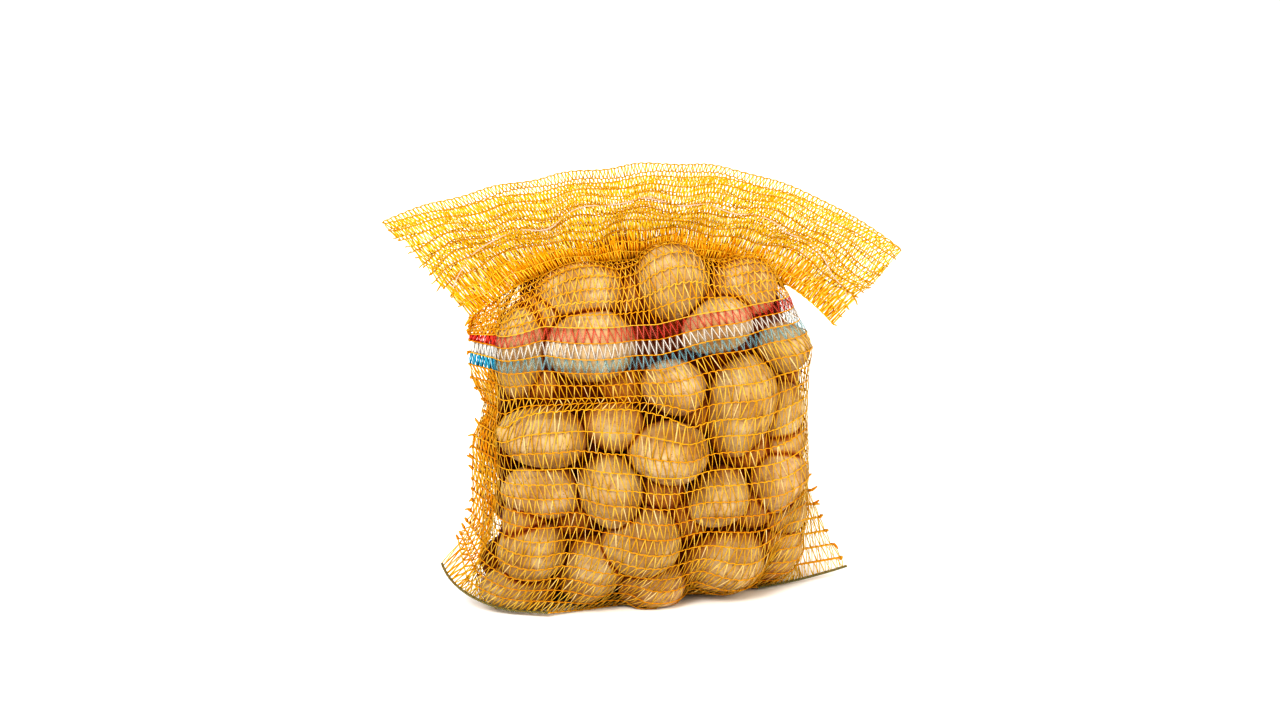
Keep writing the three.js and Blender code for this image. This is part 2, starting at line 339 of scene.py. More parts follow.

# %% [markdown]
# Each place in the tables gets a copy of a pattern with its own mesh, stretched to size. The attribute
# "tint" is one number for each potato, from which its skin takes a slightly different colour, and a second
# attribute holds the painted shade of each vertex. Potatoes far from the camera are copied from the coarse
# patterns.

# %% Copies of the potatoes
FINE_POTATOES = 25
copies = []
for number, (x, y, z, length, width, turn) in enumerate(potato_places):
    patterns = fine_patterns if number < FINE_POTATOES else coarse_patterns
    copy = patterns[number % PATTERNS].copy()
    copy.data = copy.data.copy()
    bpy.context.collection.objects.link(copy)
    copy.location = (x * MM, y * MM, z * MM)
    copy.rotation_euler = (dice.uniform(0, 2 * math.pi), -math.radians(turn), 0)
    copy.scale = (length / 2 * MM, width / 2 * MM, width / 2 * MM)
    tint = copy.data.attributes.new("tint", "FLOAT", "POINT")
    tint.data.foreach_set("value", np.full(len(copy.data.vertices), dice.uniform(0, 1)))
    points = np.array([copy.matrix_basis @ v.co for v in copy.data.vertices]) / MM
    # Painted shade for each vertex of the skin, from the function above.
    painted_shade = copy.data.attributes.new("painted_shade", "FLOAT", "POINT")
    painted_shade.data.foreach_set("value", painted_shade_at(points, number))
    copies.append(copy)
for pattern in fine_patterns + coarse_patterns:
    bpy.data.objects.remove(pattern)
print(len(copies), "copies")

# %% [markdown]
# The copies are joined into one piece. What would stand below the floor is pressed flat, as the weight of
# the sack does.

# %% One heap of potatoes
FLAT_UNDERSIDE = 0.0016
bpy.ops.object.select_all(action="DESELECT")
for copy in copies:
    copy.select_set(True)
bpy.context.view_layer.objects.active = copies[0]
bpy.ops.object.join()
potatoes = bpy.context.object
potatoes.name = "potatoes"
bpy.ops.object.transform_apply(location=True, rotation=True, scale=True)
for v in potatoes.data.vertices:
    v.co.z = max(v.co.z, FLAT_UNDERSIDE)
print("potatoes:", len(potatoes.data.polygons), "faces")

# %% [markdown]
# ## Potato skin
# Materials are built from nodes. These helpers add one node and link or set its inputs, make a colour
# ramp, blend two colours, and start a material that reads object coordinates. The skin is the first one.

# %% Node helpers


def set_input(tree, socket, value):
    if isinstance(value, bpy.types.NodeSocket):
        tree.links.new(value, socket)
    else:
        socket.default_value = value


def add(tree, kind, inputs=None, **settings):
    node = tree.nodes.new(kind)
    for name, value in settings.items():
        setattr(node, name, value)
    for name, value in (inputs or {}).items():
        set_input(tree, node.inputs[name], value)
    return node


def ramp(tree, factor, stops):
    node = add(tree, "ShaderNodeValToRGB", {"Fac": factor})
    steps = node.color_ramp.elements
    while len(steps) < len(stops):
        steps.new(1)
    for step, (place, colour) in zip(steps, stops):
        step.position = place
        step.color = (*colour, 1)
    return node.outputs["Color"]


def blend(tree, factor, a, b, way="MIX"):
    node = add(tree, "ShaderNodeMix", data_type="RGBA", blend_type=way)
    for socket, value in ((node.inputs[0], factor), (node.inputs[6], a), (node.inputs[7], b)):
        set_input(tree, socket, value)
    return node.outputs[2]


def new_material(name):
    material = bpy.data.materials.new(name)
    material.use_nodes = True
    tree = material.node_tree
    place = add(tree, "ShaderNodeTexCoord").outputs["Object"]
    print("material:", name)
    return material, tree, tree.nodes["Principled BSDF"], tree.nodes["Material Output"], place


skin, tree, surface, output, place = new_material("potato skin")

# %% [markdown]
# The skin is a warm tan with broad lighter and darker clouds, russet patches, small dark pores and a
# little dried earth. All of it comes from noise in object coordinates, so that no two potatoes look
# alike, and the tint of each potato and the painted shade of each vertex are multiplied in.

# %% Colours of the skin
tint = add(tree, "ShaderNodeAttribute", attribute_name="tint").outputs["Fac"]
painted_shade = add(tree, "ShaderNodeAttribute", attribute_name="painted_shade").outputs["Fac"]
clouds = add(tree, "ShaderNodeTexNoise", {"Vector": place, "Scale": 34, "Detail": 4}).outputs["Fac"]
patches = add(tree, "ShaderNodeTexNoise", {"Vector": place, "Scale": 95, "Detail": 7, "Roughness": 0.68})
earth = add(tree, "ShaderNodeTexNoise", {"Vector": place, "Scale": 21, "Detail": 8, "Roughness": 0.75})
pores = add(tree, "ShaderNodeTexVoronoi", {"Vector": place, "Scale": 330}).outputs["Distance"]
tan = ramp(tree, clouds, [
    (0.3, (0.34, 0.19, 0.065)), (0.5, (0.48, 0.345, 0.19)), (0.72, (0.60, 0.49, 0.34)),
])
rosy = ramp(tree, tint, [(0, (0.88, 0.84, 0.76)), (0.5, (1, 0.99, 0.96)), (1, (1, 0.94, 0.93))])
colour = blend(tree, 1.0, tan, rosy, "MULTIPLY")
russet = ramp(tree, patches.outputs["Fac"], [(0.5, (0, 0, 0)), (0.72, (0.6, 0.6, 0.6))])
colour = blend(tree, russet, colour, (0.30, 0.12, 0.03, 1))
dirt = ramp(tree, earth.outputs["Fac"], [(0.56, (0, 0, 0)), (0.74, (0.7, 0.7, 0.7))])
colour = blend(tree, dirt, colour, (0.17, 0.075, 0.025, 1))
pore = ramp(tree, pores, [(0.1, (0.55, 0.55, 0.55)), (0.24, (0, 0, 0))])
colour = blend(tree, pore, colour, (0.25, 0.12, 0.05, 1))
# Painted shade: the skin is multiplied by a deeper, redder brown where potatoes touch and deep in the heap.
painted_shade_colour = ramp(tree, painted_shade, [(0, (1, 1, 1)), (0.5, (0.82, 0.48, 0.17)), (1, (0.40, 0.09, 0.006))])
colour = blend(tree, 1.0, colour, painted_shade_colour, "MULTIPLY")
tree.links.new(colour, surface.inputs["Base Color"])
print("nodes of the skin:", len(tree.nodes))

# %% [markdown]
# A dry skin is matt and slightly rough to the touch. Two bumps, one from the patches and one from a fine
# grain, break up its shine. The last helper hangs a piece under the root of the frame and hides the solids
# it stands for, and is used for every piece.

# %% Touch of the skin
surface.inputs["Roughness"].default_value = 0.55
surface.inputs["Specular IOR Level"].default_value = 0.2
grain = add(tree, "ShaderNodeTexNoise", {"Vector": place, "Scale": 620, "Detail": 3}).outputs["Fac"]
skin_bump = add(tree, "ShaderNodeBump", {
    "Height": patches.outputs["Fac"], "Strength": 0.35, "Distance": 0.0012,
})
fine_bump = add(tree, "ShaderNodeBump", {
    "Height": grain, "Strength": 0.25, "Distance": 0.0006, "Normal": skin_bump.outputs["Normal"],
})
tree.links.new(fine_bump.outputs["Normal"], surface.inputs["Normal"])
potatoes.data.materials.clear()
potatoes.data.materials.append(skin)


def finished(piece, slot, *nodes):
    """Hangs a piece under the root of the frame and hides the solids it stands for."""
    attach(piece, "root")
    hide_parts(*nodes)
    print(piece.name, "stands for", *nodes)


finished(potatoes, "potato_skin", "potato_fill")

# %% [markdown]
# Between the potatoes one looks into the dark of the heap. A plain rounded block inside them closes that
# view, and its dark brown is painted shade, as of the shaded skins behind. It is a cube with its corners
# bevelled round.

# %% Core of the heap
CORE = (206, 84, 252)
CORE_LIFT = 3
CORE_ROUND = 34
bpy.ops.object.select_all(action="DESELECT")
bpy.ops.mesh.primitive_cube_add(size=1, location=(0, 0, (CORE[2] / 2 + CORE_LIFT) * MM))
core = bpy.context.object
core.name = "heap_core"
core.scale = [side * MM for side in CORE]
bpy.ops.object.transform_apply(location=True, rotation=True, scale=True)
bpy.ops.object.mode_set(mode="EDIT")
bpy.ops.mesh.select_all(action="SELECT")
bpy.ops.mesh.bevel(offset=CORE_ROUND * MM, segments=5, affect="EDGES")
bpy.ops.object.mode_set(mode="OBJECT")
bpy.ops.object.shade_smooth()
shade, tree, surface, output, place = new_material("shaded skins")
clouds = add(tree, "ShaderNodeTexNoise", {"Vector": place, "Scale": 30, "Detail": 5}).outputs["Fac"]
# Painted shade: a dark brown that stands for the shaded skins deep in the heap.
brown = ramp(tree, clouds, [(0.35, (0.06, 0.011, 0.001)), (0.7, (0.20, 0.05, 0.005))])
tree.links.new(brown, surface.inputs["Base Color"])
surface.inputs["Roughness"].default_value = 0.9
surface.inputs["Specular IOR Level"].default_value = 0.1
core.data.materials.append(shade)
finished(core, "potato_skin", "potato_fill")

# %% [markdown]
# ## The net as a grid
# The net is knitted in rows: a chain of stitches runs across, and a tape zigzags from one chain to the
# next. Two flat panels, front and back, are sewn together along both sides, and the cut edges stand out
# beside the seams. Each panel is kept here as a grid of points, because chains and tapes can then be read
# off it: rows run from the hem up, columns from the left edge to the right.

# %% Rows and columns
COLUMNS = 131
LEFT_SEAM, RIGHT_SEAM = 8, 116
ROWS_BELOW, ROWS_BAND, ROWS_ABOVE, ROWS_MOUTH = 18, 3, 7, 10
BAND_ROW = ROWS_BELOW + ROWS_BAND
NECK_ROW = BAND_ROW + ROWS_ABOVE
TOP_ROW = NECK_ROW + ROWS_MOUTH
FRONT, BACK = 0, 1
print("grid of the net: 2 panels,", TOP_ROW + 1, "rows,", COLUMNS + 1, "columns")

# %% [markdown]
# The empty mouth widens from the neck to its open edge and droops at both ends. Its two panels lie close
# together at the ends and apart in the middle, and their folds grow towards the edge. One function gives
# every place on it, by the same curves as the CAD solid.

# %% Curve of the mouth
NECK = {"left": -142, "right": 148, "top": 277, "left_z": 241, "right_z": 222, "power": 3}
MOUTH = {
    "span": 414, "top": 341, "left_z": 314, "right_z": 277, "peak": 0.1, "left_power": 1.6, "right_power": 2,
    "least_gap": 2.4, "neck_gap": 16, "edge_gap": 26, "y": 4, "lean": 14, "bow": 26, "back_rise": 5,
    "fold": 6, "folds": 7, "fold_drift": 1.4,
}


def lerp(a, b, t):
    return a + (b - a) * t


def mouth_point(s, t, panel):
    """A place on the empty mouth: s from -1 to 1 across, t from 0 at the neck to 1 at the edge."""
    s, t = np.broadcast_arrays(np.asarray(s, float), np.asarray(t, float))
    neck_x = lerp(NECK["left"], NECK["right"], (s + 1) / 2)
    neck_end_z = np.where(s < 0, NECK["left_z"], NECK["right_z"])
    neck_z = lerp(NECK["top"], neck_end_z, np.abs(s) ** NECK["power"])
    peak = MOUTH["peak"]
    left = s < peak
    away = np.where(left, (peak - s) / (peak + 1), (s - peak) / (1 - peak))
    end_z = np.where(left, MOUTH["left_z"], MOUTH["right_z"])
    power = np.where(left, MOUTH["left_power"], MOUTH["right_power"])
    edge_z = lerp(MOUTH["top"], end_z, np.abs(away) ** power)
    spread = np.maximum(t, 0)
    middle = np.sqrt(np.maximum(1 - s * s, 0))
    gap = MOUTH["least_gap"] + middle * lerp(MOUTH["neck_gap"], MOUTH["edge_gap"], spread)
    wave = np.sin(MOUTH["folds"] * math.pi * s + MOUTH["fold_drift"] * t)
    folds = MOUTH["fold"] * spread * wave * middle
    side = -1 if panel == FRONT else 1
    y = MOUTH["y"] + MOUTH["lean"] * spread - MOUTH["bow"] * s * s + folds + side * gap / 2
    rise = MOUTH["back_rise"] * spread * middle * panel
    return np.stack([lerp(neck_x, s * MOUTH["span"] / 2, t), y, lerp(neck_z, edge_z, t) + rise], -1)


print("top of the mouth in front:", mouth_point(MOUTH["peak"], 1, FRONT).round(1))

# %% [markdown]
# Beside each seam the cut edges of the panels stand out as a flat strip. It widens to an ear at the
# bottom corner, whose tip is lifted off the floor. Its curve is that of the CAD solid too.

# %% Curve of the side edges
TIP_POWER = 1.5
EAR_POWER = 1.7
FRONT_POWER = 3
EDGE_WAVE = 3
EDGE_WAVES = 9
LEFT_EDGE = {
    "side": -1, "inner": 114, "width": 28, "ear": 62, "rise": 90, "y": -14, "back": 0, "top": 222,
    "tip": 36, "low": 4, "front": 32, "fan": 32, "waist": 11, "rows": 40,
}
RIGHT_EDGE = {
    "side": 1, "inner": 108, "width": 24, "ear": 43, "rise": 110, "y": -2, "back": 18, "top": 210,
    "tip": 8, "low": 3, "front": 18, "fan": 0, "waist": 0, "rows": 17,
}


def edge_point(edge, across, up):
    """A place on a side edge: across from 0 at the seam to 1 at the cut, up from 0 at the hem to 1."""
    across, up = np.broadcast_arrays(np.asarray(across, float), np.asarray(up, float))
    low = lerp(edge["low"], edge["tip"], np.maximum(across, 0) ** TIP_POWER)
    z = lerp(low, edge["top"], up)
    ear = edge["ear"] * np.maximum(1 - z / edge["rise"], 0) ** EAR_POWER
    x = edge["side"] * (edge["inner"] + across * (edge["width"] + ear))
    forward = edge["front"] * (1 - across) * (1 - up) ** FRONT_POWER
    wave = EDGE_WAVE * across * np.sin(EDGE_WAVES * up)
    return np.stack([x, edge["y"] - forward + edge["back"] * across * up + wave, z], -1)


print("tips of the ears:", edge_point(LEFT_EDGE, 1, 0).round(1), edge_point(RIGHT_EDGE, 1, 0).round(1))

# %% [markdown]
# The hem closes the bottom. It runs from the tip of one ear down to the floor, on under the sack and up
# to the other tip. Its points are spaced evenly, one for each column of the net.

# %% Line of the hem
HEM_UNDER = np.array([(-62, -46, 0.9), (0, -34, 0.9), (55, -18, 0.9)])
HEM_VISIBLE = -0.3


def line_length(points):
    return np.linalg.norm(np.diff(points, axis=0), axis=1).sum()


def even_points(points, count):
    """The same line, with its points at even steps."""
    steps = np.linalg.norm(np.diff(points, axis=0), axis=1)
    travel = np.concatenate([[0], np.cumsum(steps)])
    stops = np.linspace(0, travel[-1], count)
    return np.stack([np.interp(stops, travel, points[:, k]) for k in range(3)], -1)


inwards = np.linspace(1, HEM_VISIBLE, 24)
hem = even_points(np.concatenate([
    edge_point(LEFT_EDGE, inwards, 0), HEM_UNDER, edge_point(RIGHT_EDGE, inwards[::-1], 0),
]), COLUMNS + 1)
print("length of the hem:", line_length(hem).round())

# %% [markdown]
# ## Laying the net round the potatoes
# A net under tension spans the hollows and lies tight on what bulges. Blender's cloth could do that, but
# it is slow to settle and sags, so the points of the grid are moved here instead. They start outside of
# everything: each column goes from the hem out to a rounded box round the heap, up, and in to the neck.

# %% First guess of the body
RING = {"half_width": 150, "half_depth": 95, "squareness": 0.66, "z": 6}
WALL_TOP = 235
WALL_LEAN = 0.97
SHOULDER_FROM = 240
SHOULDER_LIFT = 18
SHOULDER_LEAN = 0.9
across = np.linspace(-1, 1, COLUMNS + 1)
angle = np.linspace(0, math.pi, 400)
net = np.zeros((2, TOP_ROW + 1, COLUMNS + 1, 3))
for panel, side in ((FRONT, -1), (BACK, 1)):
    ring_x = -RING["half_width"] * np.sign(np.cos(angle)) * np.abs(np.cos(angle)) ** RING["squareness"]
    ring_y = side * RING["half_depth"] * np.sin(angle) ** RING["squareness"]
    ring = even_points(np.stack([ring_x, ring_y, 0 * ring_x], -1), COLUMNS + 1)
    neck_line = mouth_point(across, 0, panel)
    for column in range(COLUMNS + 1):
        x, y, z = ring[column]
        neck_x, neck_y, neck_z = neck_line[column]
        path = [hem[column], (x, y, RING["z"]), (WALL_LEAN * x, y, min(neck_z, WALL_TOP))]
        if neck_z > SHOULDER_FROM:
            path.append(((x + neck_x) / 2, SHOULDER_LEAN * y, neck_z + SHOULDER_LIFT))
        path.append(neck_line[column])
        net[panel, :NECK_ROW + 1, column] = even_points(np.array(path), NECK_ROW + 1)
print("columns from the hem to the neck:", net.shape[2])

# %% [markdown]
# The rows of the mouth follow its curve. A thread is drawn through them half way up, so the rows crowd
# together there. Sine waves let them drift up and down and ripple, most so half way, because loose net
# never hangs in straight rows.

# %% Rows of the mouth
ROW_POWER = 0.95
DRAWN_UP = 0.5
CROWDING = 0.4
CROWD_REACH = 0.16
ROW_DRIFT = [(0.045, 9, 2.1, 4), (0.03, 23, 5, -6)]
ROW_RIPPLE = [(2.5, 31, 3, 0), (2.5, 17, 0, -9)]


def waves(table, panel, up):
    """Sine waves across the net: height, waves, shift of the back, shift on the way up."""
    return sum(high * np.sin(n * across + back * panel + climb * up) for high, n, back, climb in table)


for panel in (FRONT, BACK):
    for row in range(ROWS_MOUTH + 1):
        up = (row / ROWS_MOUTH) ** ROW_POWER
        loose = 4 * up * (1 - up)
        crowded = CROWDING * math.exp(-((up - DRAWN_UP) / CROWD_REACH) ** 2)
        bunched = DRAWN_UP + (up - DRAWN_UP) * (1 - crowded)
        line = mouth_point(across, bunched + loose * waves(ROW_DRIFT, panel, up), panel)
        line[:, 1] += loose * waves(ROW_RIPPLE, panel, up)
        net[panel, NECK_ROW + row] = line
print("open edge from", net[FRONT, -1, 0].round(), "to", net[FRONT, -1, -1].round())

# %% [markdown]
# A point inside a potato moves straight out of it. Points that already lie on the floor under a potato
# stay there. The plastic doesn't stretch, so now and then the stitches of every row are spaced evenly
# again, and so are the rows between the hem, the band and the neck.

# %% Pushing out and spacing
NET_CLEARANCE = 1.6
FLOOR_CLEARANCE = 0.9
LARGEST_PUSH = 6
PUSH_REACH = 8
ON_FLOOR = 2.5
filled = slice(LEFT_SEAM, RIGHT_SEAM + 1)


def push_out(points):
    flat = points.reshape(-1, 3).copy()
    for potato in potato_places:
        near = np.where(np.abs(flat - potato[:3]).max(1) < potato[3] / 2 + PUSH_REACH)[0]
        if len(near) == 0:
            continue
        gap, out = potato_gap(flat[near], potato, NET_CLEARANCE)
        move = out * np.clip(-gap, 0, LARGEST_PUSH)[:, None]
        inside = (gap < 0) & ((flat[near, 2] > ON_FLOOR) | (move[:, 2] > 0))
        flat[near[inside]] += move[inside]
    flat[:, 2] = np.maximum(flat[:, 2], FLOOR_CLEARANCE)
    return flat.reshape(points.shape)


def space_evenly(grid):
    for panel in (FRONT, BACK):
        for row in range(1, NECK_ROW):
            grid[panel, row, filled] = even_points(grid[panel, row, filled], RIGHT_SEAM - LEFT_SEAM + 1)
        for low, high in ((0, ROWS_BELOW), (BAND_ROW, NECK_ROW)):
            for column in range(LEFT_SEAM, RIGHT_SEAM + 1):
                rising = grid[panel, low:high + 1, column]
                grid[panel, low:high + 1, column] = even_points(rising, high - low + 1)


pushed = np.linalg.norm(push_out(net) - net, axis=-1)
print("largest push on the first guess:", pushed.max().round(1))

# %% [markdown]
# Each point is pulled towards its four neighbours. The rows just below the neck are drawn taut over the
# potatoes, so they are also pulled straight between points further apart. At a seam both panels share one
# line, which goes to the middle of what lies beside it.

# %% Pull of the strands
TIGHT_ROWS = slice(NECK_ROW - 4, NECK_ROW)
TIGHT_REACH = 6
TIGHT_PULL = 0.35


def pull_of_strands(grid):
    pull = np.zeros_like(grid)
    right, left = grid[:, :, LEFT_SEAM + 2:RIGHT_SEAM + 1], grid[:, :, LEFT_SEAM:RIGHT_SEAM - 1]
    pull[:, :, LEFT_SEAM + 1:RIGHT_SEAM] = right + left - 2 * grid[:, :, LEFT_SEAM + 1:RIGHT_SEAM]
    tight = grid[:, TIGHT_ROWS, filled]
    far = tight[:, :, 2 * TIGHT_REACH:] + tight[:, :, :-2 * TIGHT_REACH]
    straight = far - 2 * tight[:, :, TIGHT_REACH:-TIGHT_REACH]
    pull[:, TIGHT_ROWS, LEFT_SEAM + TIGHT_REACH:RIGHT_SEAM + 1 - TIGHT_REACH] += TIGHT_PULL * straight
    for seam, inside in ((LEFT_SEAM, LEFT_SEAM + 1), (RIGHT_SEAM, RIGHT_SEAM - 1)):
        pull[:, :, seam] = 2 * (grid[:, :, inside].mean(0) - grid[:, :, seam])
    pull[:, 1:-1] += grid[:, 2:] + grid[:, :-2] - 2 * grid[:, 1:-1]
    return pull


print("strongest pull in the first guess:", np.abs(pull_of_strands(net[:, :NECK_ROW + 1])).max().round(1))

# %% [markdown]
# Some places are held where the photo shows them: the height of the coloured band, a row that is tucked
# in under a bulge on the front, and the lines of both seams. Each round moves them part of the way there.

# %% Places that are held
BAND_X = [-145, -120, -90, -57, 0, 44, 112]
BAND_Z = [230, 229, 238, 238, 235, 245, 250]
BAND_STEP = [9.5, 10, 12, 12.4, 11.5, 10.4, 10]
BAND_HOLD = 0.3
TUCK_ROW = ROWS_BELOW - 3
TUCK_Z = 176
TUCK_STEP = 4
TUCK_X = [-118, -90, -30, 20]
TUCK_SHARE = [0, 1, 1, 0]
TUCK_HOLD = 0.8
TUCK_IN = 0.6
SEAM_PLACE = {LEFT_SEAM: (-120, -34), RIGHT_SEAM: (112, 4)}
SEAM_HOLD = {
    LEFT_SEAM: ([0, 0.15, 0.3, 0.75, 0.95], [0, 0.02, 0.1, 0.1, 0]),
    RIGHT_SEAM: ([0, 0.15, 0.3, 0.6, 0.7], [0, 0.02, 0.06, 0.06, 0]),
}
rows = np.arange(NECK_ROW + 1)
seam_hold = {seam: np.interp(rows / NECK_ROW, *table) for seam, table in SEAM_HOLD.items()}


def hold_places(grid):
    for row in range(ROWS_BELOW, BAND_ROW + 1):
        band = grid[:, row]
        below = (BAND_ROW - row) * np.interp(band[..., 0], BAND_X, BAND_STEP)
        band[..., 2] += BAND_HOLD * (np.interp(band[..., 0], BAND_X, BAND_Z) - below - band[..., 2])
    for step in (-1, 0, 1):
        tuck = grid[FRONT, TUCK_ROW + step]
        tucked = np.interp(tuck[:, 0], TUCK_X, TUCK_SHARE)
        tuck[:, 2] += TUCK_HOLD * tucked * (TUCK_Z + TUCK_STEP * step - tuck[:, 2])
        tuck[:, 1] += TUCK_IN * tucked
    for seam, (seam_x, seam_y) in SEAM_PLACE.items():
        line = grid[:, :, seam].mean(0)
        line[:, 0] += seam_hold[seam] * (seam_x - line[:, 0])
        line[:, 1] += seam_hold[seam] * (seam_y - line[:, 1])
        grid[:, :, seam] = line


print("rows held for the band:", ROWS_BELOW, "to", BAND_ROW)

# %% [markdown]
# After some hundred rounds of pulling, drawing in, holding and pushing out, the net is at rest. The hem
# and the neck are put back to their lines at the end of each round.

# %% Relax the net
ROUNDS = 420
SPACE_EVERY = 10
TENSION = 0.22
DRAWN_IN = 0.025
FREE_ENDS = 2
INNER_HALF_WIDTH, INNER_HALF_DEPTH = 130, 75
drawn = DRAWN_IN * ((rows > FREE_ENDS) & (rows < NECK_ROW - FREE_ENDS))[None, :, None, None]
body = net[:, :NECK_ROW + 1].copy()
for turn_number in range(ROUNDS):
    if turn_number % SPACE_EVERY == 0:
        space_evenly(body)
    body += TENSION * pull_of_strands(body)
    outward = body * (1 / INNER_HALF_WIDTH ** 2, 1 / INNER_HALF_DEPTH ** 2, 0)
    body -= drawn * outward / (np.linalg.norm(outward, axis=-1, keepdims=True) + TINY)
    hold_places(body)
    body[:, :, filled] = push_out(body[:, :, filled])
    body[:, 0] = hem
    for panel in (FRONT, BACK):
        body[panel, -1] = mouth_point(across, 0, panel)
print("lowest and highest point of the net:", body[..., 2].min().round(1), body[..., 2].max().round(1))

# %% [markdown]
# The cut edges are laid out beside the seams last. Their rows fan out upwards from the rows at the seam,
# most so at the ear. The left edge is pinched to a waist half way up, and the right one ends above its
# ear.

# %% Cut edges beside the seams
EAR_ROW_STEP = 5
FAN_ROWS = [0, 4, 12, 17]
FAN_SHARE = [1, 0.5, 0.2, 0]
WAIST_Z = 165
WAIST_REACH = 16
TAPER_ROWS = 5
PANEL_GAP = 0.8
for seam, edge, side in ((LEFT_SEAM, LEFT_EDGE, -1), (RIGHT_SEAM, RIGHT_EDGE, 1)):
    seam_line = body[FRONT, :, seam]
    fan = edge["fan"] * np.interp(rows, FAN_ROWS, FAN_SHARE)
    height = np.maximum(seam_line[:, 2] + fan, edge["tip"] + EAR_ROW_STEP * rows)
    up = (height - edge["tip"]) / (edge["top"] - edge["tip"])
    cut = edge_point(edge, 1, np.clip(up, 0, 1))
    cut[:, 0] -= side * edge["waist"] * np.exp(-((height - WAIST_Z) / WAIST_REACH) ** 2)
    wing = mouth_point(side, 0, FRONT)
    first_above = int(np.argmax(up >= 1))
    rest = np.linspace(0, 1, NECK_ROW + 1 - first_above + 1)[1:, None]
    cut[first_above:] = lerp(cut[first_above], wing, rest)
    taper = np.clip((rows - edge["rows"]) / TAPER_ROWS + 1, 0, 1)[:, None]
    cut = lerp(cut, seam_line, taper)
    columns_out = LEFT_SEAM if side < 0 else COLUMNS - RIGHT_SEAM
    out = np.linspace(0, 1, columns_out + 1)[None, :, None]
    for panel in (FRONT, BACK):
        strip = lerp(body[panel, :, seam][:, None], cut[:, None], out)
        strip[:, 1:, 1] += PANEL_GAP * (1 if panel == BACK else -1)
        strip = push_out(strip)
        if side < 0:
            body[panel, 1:-1, :seam + 1] = strip[1:-1, ::-1]
        else:
            body[panel, 1:-1, seam:] = strip[1:-1]
net[:, :NECK_ROW + 1] = body
print("widest across the ears:", (body[..., 0].max() - body[..., 0].min()).round())

# %% [markdown]
# A tape has to know which way is out of the sack and which way is up along the net. Both come from the
# grid: up is the way from row to row, and out is square to that and to the way along a row.

# %% Which way the net faces


def unit(vectors):
    """The same directions, all of length 1."""
    return vectors / (np.linalg.norm(vectors, axis=-1, keepdims=True) + TINY)


along_column = np.gradient(net, axis=1)
facing = np.cross(np.gradient(net, axis=2), along_column)
facing[BACK] *= -1
facing = unit(facing)
upward = unit(along_column)
spacing = np.linalg.norm(np.diff(net[FRONT, :ROWS_BELOW + 1, COLUMNS // 2], axis=0), axis=1)
print("mean spacing of the rows on the front:", spacing.mean().round(1))

# %% [markdown]
# ## Stitches
# Ten thousand stitches are too many to model by hand, and a bevelled curve would need a tilt at each point
# to keep a flat tape facing outwards. So one function carries a small flattened ring of points along many
# paths at once and closes both ends with faces.

# %% Sweeping a section along many paths


def sweep(paths, normals, half_width, half_thickness, sides):
    """Vertices and faces of closed strands. paths is (strands, points, 3)."""
    strands, points, _ = paths.shape
    forward = unit(np.gradient(paths, axis=1))
    sideways = unit(np.cross(forward, normals))
    outwards = np.cross(sideways, forward)
    half_width = np.broadcast_to(half_width, (strands, points))[..., None, None]
    half_thickness = np.broadcast_to(half_thickness, (strands, points))[..., None, None]
    angle = (2 * math.pi * (np.arange(sides) + 0.5) / sides)[:, None]
    ring = paths[:, :, None] + sideways[:, :, None] * half_width * np.cos(angle)
    ring = ring + outwards[:, :, None] * half_thickness * np.sin(angle)
    index = np.arange(strands * points * sides).reshape(strands, points, sides)
    turned = np.roll(index, -1, axis=2)
    walls = np.stack([index[:, :-1], index[:, 1:], turned[:, 1:], turned[:, :-1]], -1).reshape(-1, 4)
    faces = [walls]
    for k in range(0, sides - 2, 2):
        corners = [0, k + 1, k + 2, k + 3]
        faces.append(index[:, 0][:, corners])
        faces.append(index[:, -1][:, corners[::-1]])
    return ring.reshape(-1, 3), np.concatenate(faces)


trial_path = np.zeros((1, 2, 3)) + np.array([[0, 0, 0], [1, 0, 0]])
print("faces of a strand with two rings of four:", len(sweep(trial_path, np.array([0, 0, 1]), 1, 1, 4)[1]))

# %% [markdown]
# Many strands become one mesh, because ten thousand objects would be slow. Every stitch keeps its own
# number in the attribute "shade", from which the tape takes its colour: a tone by chance, with painted
# shade at the neck and painted glints at the top of its ramp.

# %% A piece of many strands


def joined(name, parts):
    """One mesh of swept strands, with a shade for each strand."""
    meshes = [swept for swept, shade in parts]
    vertices = np.concatenate([v for v, f in meshes])
    starts = np.cumsum([0] + [len(v) for v, f in meshes[:-1]])
    faces = np.concatenate([f + start for (v, f), start in zip(meshes, starts)])
    shade = np.concatenate([shade for swept, shade in parts])
    mesh = bpy.data.meshes.new(name)
    mesh.from_pydata((vertices * MM).tolist(), [], faces.tolist())
    mesh.attributes.new("shade", "FLOAT", "POINT").data.foreach_set("value", shade)
    mesh.shade_smooth()
    piece = bpy.data.objects.new(name, mesh)
    bpy.context.collection.objects.link(piece)
    print(name, len(faces), "faces")
    return piece


def on_net(values, panel, row, column):
    """Reads the grid between its points."""
    row = np.clip(row, 0, TOP_ROW)
    column = np.clip(column, 0, COLUMNS)
    r = np.minimum(row.astype(int), TOP_ROW - 1)
    c = np.minimum(column.astype(int), COLUMNS - 1)
    u, v = (row - r)[..., None], (column - c)[..., None]
    grid = values[panel]
    low = grid[r, c] * (1 - v) + grid[r, c + 1] * v
    high = grid[r + 1, c] * (1 - v) + grid[r + 1, c + 1] * v
    return low * (1 - u) + high * u


middle_of_front = on_net(net, FRONT, np.array(ROWS_BELOW / 2), np.array(COLUMNS / 2))
print("middle of the front:", middle_of_front.round(1))

# %% [markdown]
# The chains are round and knobbly, one knob for a stitch. The zigzag tapes pull them up and down in turn,
# which makes the scalloped line one sees. The rows about the neck are gathered, and their colour is a
# little deeper there: painted shade of the gathered net.

# %% Chains
CHAIN_RADIUS = 0.44
CHAIN_KNOB = 0.08
CHAIN_FLATNESS = 0.85
CHAIN_SIDES = 6
